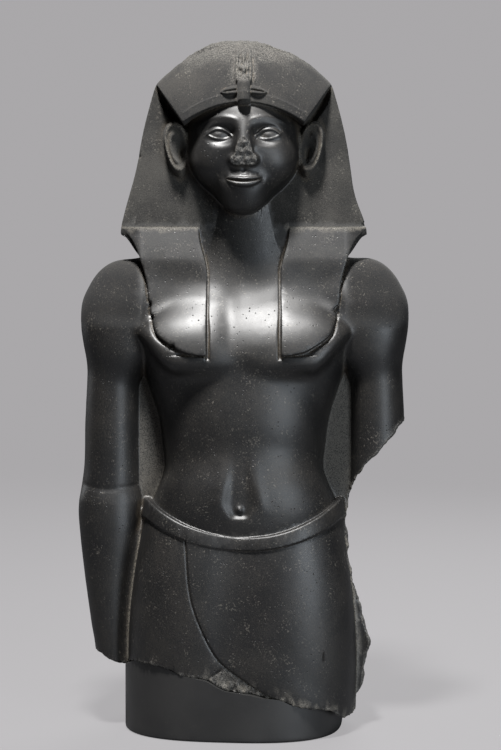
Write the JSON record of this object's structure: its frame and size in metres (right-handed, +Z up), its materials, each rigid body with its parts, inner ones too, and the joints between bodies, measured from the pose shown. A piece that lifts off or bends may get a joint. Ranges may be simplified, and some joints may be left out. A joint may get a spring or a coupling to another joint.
{
  "type": "egyptian pharaoh statue",
  "caption": "Broken dark stone statue of a standing king in a nemes cloth and wrapped kilt, held on an oval-ended support block.",
  "frame": {"origin": "on the flat underside of the support block, below the king's midline", "axes": "+Z up, the king looks toward -Y, +X to the right of someone who faces the king"},
  "size_m": [0.4834, 0.2666, 1.0017],
  "materials": {
    "statue_stone": "polished dark stone, dull where unpolished or broken",
    "block_stone": "smooth satin dark stone"
  },
  "bodies": {
    "root": {"king_statue": "statue_stone", "support_block": "block_stone"}
  },
  "joints": []
}
